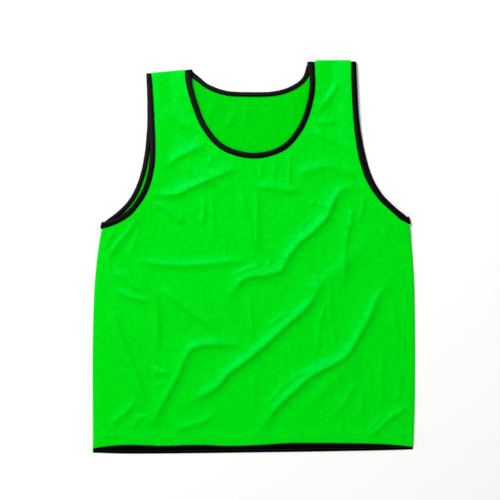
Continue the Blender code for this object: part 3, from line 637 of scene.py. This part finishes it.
def inward(line, inside, first, last):
    """The direction into the panel at each point of an edge line; first and last give it at the ends."""
    tangent = np.gradient(line, axis=0)
    normal = np.column_stack([-tangent[:, 1], tangent[:, 0]])
    normal /= np.linalg.norm(normal, axis=1)[:, None]
    if (inside - line[len(line) // 2]) @ normal[len(line) // 2] < 0:
        normal = -normal
    weight = ease(np.minimum(np.arange(len(line)), np.arange(len(line))[::-1]), 0.0, 14.0)[:, None]
    ends = np.where(np.arange(len(line))[:, None] < len(line) // 2, first, last)
    blended = weight * normal + (1 - weight) * ends
    return blended / np.linalg.norm(blended, axis=1)[:, None]


def binding_section():
    """The strip's section as (distance into the panel, height over the panel's under side).

    Outside: a dome over the upper leg, a round fold beyond the raw edge and a flatter lower leg.
    Inside: the same way back, just clear of the panel.
    """
    dome = np.linspace(OUTER_LEG, 0.4, 9)
    upper = np.column_stack([dome, WALL + 0.75 + 0.62 * np.cos((dome - 3.4) / 5.6 * np.pi / 2)])
    angle = np.linspace(0.5, np.pi - 0.5, 6)
    fold = np.column_stack([0.1 - 1.5 * np.sin(angle), 0.6 + 1.9 * np.cos(angle)])
    lower = np.array([(1.2, -1.25), (4.0, -1.4), (INNER_LEG, -1.25), (INNER_LEG, -0.15)])
    inner = np.array([(2.0, -0.15), (-0.2, 0.1), (-0.2, WALL - 0.1), (2.0, WALL + 0.15), (OUTER_LEG, WALL + 0.12)])
    return np.vstack([upper, fold, lower, inner])


SECTION = binding_section()


def along_edge(line, into, edge_height, strip_height, widths):
    """Sections along a bound edge: each point goes into the panel and up, and leans with the panel's edge strip.

    widths scales the legs at each point of the line.
    """
    reach = SECTION[:, 0] * widths[:, None]
    plan = line[:, None] + reach[..., None] * into[:, None]
    slope = (strip_height - edge_height)[:, None] * np.clip(reach / EDGE_STRIP, 0.0, None)
    height = edge_height[:, None] + slope + SECTION[:, 1]
    return np.concatenate([plan, height[..., None]], axis=-1)


def turned_over(corner, into, outward, width):
    """Sections of the half turn from the front layer to the back one: a circle about the seam's line."""
    angle = np.linspace(0.0, np.pi, TURN_STEPS + 1)[1:-1, None]
    radius = (FRONT_EDGE + SECTION[:, 1] - TURN_LEVEL)[None]
    plan = corner + width * SECTION[None, :, :1] * into + (np.sin(angle) * radius)[..., None] * outward
    height = TURN_LEVEL + np.cos(angle) * radius
    return np.concatenate([plan, height[..., None]], axis=-1)


def flipped(sections):
    """The same strip on the back layer, where its outer leg is the lower one."""
    mirrored = sections.copy()
    mirrored[..., 2] = 2 * TURN_LEVEL - mirrored[..., 2]
    return mirrored


def swept(sections, closed):
    """Four-sided faces between neighbouring sections, and the place of each point along and across the strip."""
    rings, size = sections.shape[:2]
    index = np.arange(rings * size).reshape(rings, size)
    here, there = (index, np.roll(index, -1, axis=0)) if closed else (index[:-1], index[1:])
    quads = np.stack([here, there, np.roll(there, -1, axis=1), np.roll(here, -1, axis=1)], axis=-1).reshape(-1, 4)
    middle = sections.mean(axis=1)
    along = np.concatenate([[0.0], np.cumsum(np.linalg.norm(np.diff(middle, axis=0), axis=1))])
    ring = sections[0]
    across = np.concatenate([[0.0], np.cumsum(np.linalg.norm(np.diff(ring, axis=0), axis=1))])
    plan = np.stack(np.broadcast_arrays(along[:, None], across[None]), axis=-1).reshape(-1, 2)
    return quads, plan


def facing_out(points, faces):
    """The faces turned so that the volume they enclose, a sum of corner products, is positive."""
    a, b, c, d = (points[faces[:, i]] for i in range(4))
    volume = np.einsum("ij,ij->", a, np.cross(b, c)) + np.einsum("ij,ij->", a, np.cross(c, d))
    return faces if volume > 0 else faces[:, ::-1]


def wobble(sections, seed):
    """The strip's small unevenness: its height and width waver by sums of sines of uneven length."""
    draw = np.random.default_rng(seed)
    count = len(sections)
    t = np.arange(count) * BINDING_STEP
    waves = draw.uniform(9.0, 60.0, 7)
    phases = draw.uniform(0.0, 2 * np.pi, 7)
    drift = np.sin(2 * np.pi * t[:, None] / (count * BINDING_STEP / np.round(count * BINDING_STEP / waves)) + phases)
    return drift.mean(axis=1)


def leg_widths(line, first, last):
    """How wide the legs are at each point of a line, against their full width: first and last at its ends."""
    along = np.arange(len(line)) * BINDING_STEP
    start = ease(along, 0.0, END_LENGTH)
    end = ease(along[::-1], 0.0, END_LENGTH)
    return first + (1 - first) * start + (last - 1) * (1 - end)


def make_binding(name, front_edge, back_edge, ends, turns, widths, seed):
    """One closed strip: along the front edge, over at its end, back along the back layer and over again.

    It comes with its length and its seam: the points on top where the front stretch is sewn through.
    """
    line = smooth_line(front_edge, BINDING_STEP)
    into = inward(line, *ends)
    heights = [front_top(line + reach * into) - WALL for reach in (0.0, EDGE_STRIP)]
    back_line = smooth_line(back_edge, BINDING_STEP)
    back_into = inward(back_line, *ends)
    level = np.full(len(back_line), FRONT_EDGE)
    sections = np.concatenate([
        along_edge(line, into, *heights, leg_widths(line, *widths)),
        turned_over(line[-1], into[-1], turns[1], widths[1]),
        flipped(along_edge(back_line, back_into, level, level, leg_widths(back_line, *widths)))[::-1],
        turned_over(line[0], into[0], turns[0], widths[0])[::-1],
    ])
    uneven = wobble(sections, seed)[:, None]
    middle = sections.mean(axis=1, keepdims=True)
    sections = middle + (sections - middle) * (1 + 0.05 * uneven[..., None])
    faces, plan = swept(sections, True)
    points = sections.reshape(-1, 3)
    piece = make_piece(name, points, facing_out(points, faces), plan, binding_knit)
    length = length_of(np.vstack([line, back_line[::-1], line[:1]]))
    print(f"{name}: {length:.0f} mm of binding, {triangle_count(piece)} triangles")
    return piece, length, sections[:len(line), SEAM_POINT]


across_left = unit(SHOULDER_TIP_LEFT, SHOULDER_NECK_LEFT)
across_right = unit(SHOULDER_TIP_RIGHT, SHOULDER_NECK_RIGHT)
up_left = np.array([-0.087, 0.996])
up_right = np.array([0.0, 1.0])
out_left = np.array([-0.97, 0.24])
out_right = np.array([0.98, 0.2])
MIDDLE = np.array([0.0, 100.0])
neck_piece, neck_length, neck_seam = make_binding(
    "neck_binding_strip", FRONT_NECK, BACK_NECK,
    (np.zeros(2), -across_left, -across_right), (up_left, up_right), (1.25, 1.25), 3)
left_piece, left_length, left_seam = make_binding(
    "armhole_binding_strip_left", FRONT_ARMHOLE_LEFT, BACK_ARMHOLE_LEFT,
    (MIDDLE, across_left, unit(UNDERARM_LEFT, SIDE_LEFT[1])), (up_left, out_left), (0.9, 1.15), 5)
right_piece, right_length, right_seam = make_binding(
    "armhole_binding_strip_right", FRONT_ARMHOLE_RIGHT, BACK_ARMHOLE_RIGHT,
    (MIDDLE, across_right, unit(UNDERARM_RIGHT, SIDE_RIGHT[1])), (up_right, out_right), (0.9, 1.3), 8)

# %% [markdown]
# The hem tape. It is sewn flat to the inside of the hem and turned down over the cloth's edge. Only the part
# on the back shows, below the front hem, so only that part is made.

# %% Hem tape
def tape_section():
    """The tape's section: flat over the back panel, rounded down over its edge, and hollow at the panel."""
    angle = np.linspace(0.1, np.pi / 2, 6)
    top = np.column_stack([np.linspace(HEM_TAPE_WIDTH, 1.0, 8), np.full(8, SHELL + 1.1)])
    fold = np.column_stack([0.4 - 1.5 * np.sin(angle), SHELL - 0.5 + 1.6 * np.cos(angle)])
    inside = np.array([(-1.1, 0.1), (-0.3, 0.1), (-0.3, SHELL + 0.1), (1.0, SHELL + 0.15), (HEM_TAPE_WIDTH, SHELL + 0.1)])
    return np.vstack([top, fold, inside])


hem_line = smooth_line(BACK_HEM, BINDING_STEP)
hem_into = inward(hem_line, np.zeros(2), (0.0, 1.0), (0.0, 1.0))
tape = tape_section()
tape_plan = hem_line[:, None] + tape[:, :1] * hem_into[:, None]
tape_sections = np.concatenate([tape_plan, np.broadcast_to(tape[:, 1], tape_plan.shape[:2])[..., None]], axis=-1)
tape_faces, tape_flat = swept(tape_sections, False)
tape_points = tape_sections.reshape(-1, 3)
tape_piece = make_piece("hem_tape_strip", tape_points, facing_out(tape_points, tape_faces), tape_flat, tape_knit)
print("hem tape:", round(length_of(hem_line)), "mm long,", triangle_count(tape_piece), "triangles")

# %% [markdown]
# The stitches. Each seam is sewn in a straight line of short stitches, one every 3 mm: a thread that comes up,
# lies along the seam and goes down again. All stitches of a seam are one mesh, made by carrying one small
# tapered rod to every place along the seam.

# %% Stitches
STITCH_PITCH = 3.0
STITCH_LENGTH = 2.3
THREAD_RADIUS = 0.32
ROD_RINGS = 5
ROD_SIDES = 6
TAPE_SEAM = 3.6


def stitch_rod():
    """One stitch along X: rings of a rod that bows up by its radius and thins to its ends, and a point at each end."""
    t = np.linspace(-0.9, 0.9, ROD_RINGS)[:, None]
    turn = np.linspace(0.0, 2 * np.pi, ROD_SIDES, endpoint=False)
    radius = THREAD_RADIUS * np.sqrt(1 - 0.8 * t**2)
    x = np.broadcast_to(0.5 * STITCH_LENGTH * t, (ROD_RINGS, ROD_SIDES))
    rings = np.stack([x, radius * np.cos(turn), radius * np.sin(turn) - THREAD_RADIUS * t**2], axis=-1).reshape(-1, 3)
    tips = np.array([(-0.5, 0.0, -1.1 * THREAD_RADIUS / STITCH_LENGTH), (0.5, 0.0, -1.1 * THREAD_RADIUS / STITCH_LENGTH)])
    index = np.arange(ROD_RINGS * ROD_SIDES).reshape(ROD_RINGS, ROD_SIDES)
    here, there = index[:-1], index[1:]
    quads = np.stack([here, np.roll(here, -1, axis=1), np.roll(there, -1, axis=1), there], axis=-1).reshape(-1, 4)
    count = ROD_RINGS * ROD_SIDES
    first, last = index[0], index[-1]
    start_cap = np.column_stack([np.full(ROD_SIDES, count), np.roll(first, -1), first])
    end_cap = np.column_stack([np.full(ROD_SIDES, count + 1), last, np.roll(last, -1)])
    return np.vstack([rings, tips * STITCH_LENGTH]), quads, np.vstack([start_cap, end_cap])


def sewn(name, seam, thread):
    """Stitches along a seam: the rod turned to the seam's direction in plan and moved to each of its places."""
    spots = resampled(seam, round(length_of(seam) / STITCH_PITCH))
    along = np.gradient(spots, axis=0)
    along /= np.linalg.norm(along, axis=1)[:, None]
    across = np.column_stack([-along[:, 1], along[:, 0], np.zeros(len(spots))])
    across /= np.linalg.norm(across, axis=1)[:, None]
    up = np.cross(along, across)
    rod, quads, caps = stitch_rod()
    frames = np.stack([along, across, up], axis=1)
    points = (spots[:, None] + np.einsum("ij,njk->nik", rod, frames)).reshape(-1, 3)
    offsets = (np.arange(len(spots)) * len(rod))[:, None, None]
    faces = [*(quads + offsets).reshape(-1, 4).tolist(), *(caps + offsets).reshape(-1, 3).tolist()]
    plan = np.tile(rod[:, :2], (len(spots), 1))
    piece = make_piece(name, points, faces, plan, thread)
    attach(piece, "root")
    print(f"{name}: {len(spots)} stitches")
    return piece


def over_tape(line, into):
    """The tape's seam, on its upper face."""
    plan = line + TAPE_SEAM * into
    return np.column_stack([plan, np.full(len(plan), SHELL + 1.15)])


front_hem_into = inward(front.hem, np.zeros(2), (0.0, 1.0), (0.0, 1.0))
hem_seam_plan = front.hem + HEM_GROOVE * front_hem_into
hem_seam = np.column_stack([hem_seam_plan, front_top(hem_seam_plan)])
neck_stitches = sewn("neck_stitches", neck_seam, black_thread)
left_stitches = sewn("armhole_stitches_left", left_seam, black_thread)
right_stitches = sewn("armhole_stitches_right", right_seam, black_thread)
tape_stitches = sewn("hem_tape_stitches", over_tape(hem_line, hem_into)[3:-3], black_thread)
hem_stitches = sewn("front_hem_stitches", hem_seam[1:-1], green_thread)

# %% [markdown]
# Which piece stands for which solid. Every piece rides on the one body and replaces its solid, which is hidden.


def belongs(piece, node):
    """Sets what a piece rides on and hides the solid it replaces."""
    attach(piece, "root")
    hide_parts(node)


belongs(front_piece, "front_panel")
belongs(back_piece, "back_panel")
belongs(neck_piece, "neck_binding")
belongs(left_piece, "armhole_binding_left")
belongs(right_piece, "armhole_binding_right")
belongs(tape_piece, "hem_tape")

# %% [markdown]
# The stage. The bib lies on seamless white paper under soft studio light: a large key light low in the upper
# left brings out the folds, and an even fill keeps the shadows open.

# %% Floor
def matt_paper():
    material, tree, shader = new_material("seamless_paper_white")
    place = add_node(tree, "ShaderNodeTexCoord").outputs["Object"]
    grain = add_node(tree, "ShaderNodeTexNoise", values={"Scale": 900.0}, links={"Vector": place})
    bump = add_node(tree, "ShaderNodeBump", values={"Strength": 0.1, "Distance": 0.0001},
                    links={"Height": grain.outputs["Fac"]})
    tree.links.new(bump.outputs["Normal"], shader.inputs["Normal"])
    shader.inputs["Base Color"].default_value = linear("#F6F6F5")
    shader.inputs["Roughness"].default_value = 0.9
    return material


FLOOR_HALF = 2.5
floor_mesh = bpy.data.meshes.new("floor")
corners = [(-FLOOR_HALF, -FLOOR_HALF, 0.0), (FLOOR_HALF, -FLOOR_HALF, 0.0), (FLOOR_HALF, FLOOR_HALF, 0.0),
           (-FLOOR_HALF, FLOOR_HALF, 0.0)]
floor_mesh.from_pydata(corners, [], [(0, 1, 2, 3)])
floor_mesh.materials.append(matt_paper())
floor = bpy.data.objects.new("floor", floor_mesh)
floor.location.z = -0.0002
bpy.context.scene.collection.objects.link(floor)

# %% Lights
KEY_PLACE = np.array([-1.35, 1.75, 2.6])
KEY_SIZE = 1.3
KEY_WATTS = 90.0
FILL_STRENGTH = 0.6


def aimed(place, target):
    """The turn that points an object's -Z from its place to the target."""
    return Vector(np.subtract(target, place).tolist()).to_track_quat("-Z", "Y").to_euler()


key_data = bpy.data.lights.new("key", "AREA")
key_data.shape = "DISK"
key_data.size = KEY_SIZE
key_data.energy = KEY_WATTS
key = bpy.data.objects.new("key", key_data)
key.location = KEY_PLACE
key.rotation_euler = aimed(KEY_PLACE, (0.0, 0.0, 0.0))
bpy.context.scene.collection.objects.link(key)

world = bpy.data.worlds.new("studio")
world.use_nodes = True
world.node_tree.nodes["Background"].inputs["Color"].default_value = (1.0, 1.0, 1.0, 1.0)
world.node_tree.nodes["Background"].inputs["Strength"].default_value = FILL_STRENGTH
world.cycles_visibility.glossy = False
bpy.context.scene.world = world
bpy.context.scene.view_settings.view_transform = "Standard"

# %% [markdown]
# The camera. The photograph looks straight down, and the frame is 0.9 m wide at the cloth, so 1.8 mm of cloth
# fills a pixel of a 500 pixel picture.

# %% Camera
FRAME_WIDTH = 0.897
LENS = 85.0
SENSOR = 36.0
VIEW_CENTRE = (-0.0068, 0.0126)

camera_data = bpy.data.cameras.new("camera")
camera_data.lens = LENS
camera_data.sensor_width = SENSOR
camera = bpy.data.objects.new("camera", camera_data)
camera.location = (*(VIEW_CENTRE + FRAME_SHIFT[:2] * MM), FRAME_WIDTH * LENS / SENSOR + 0.004)
bpy.context.scene.collection.objects.link(camera)
bpy.context.scene.camera = camera
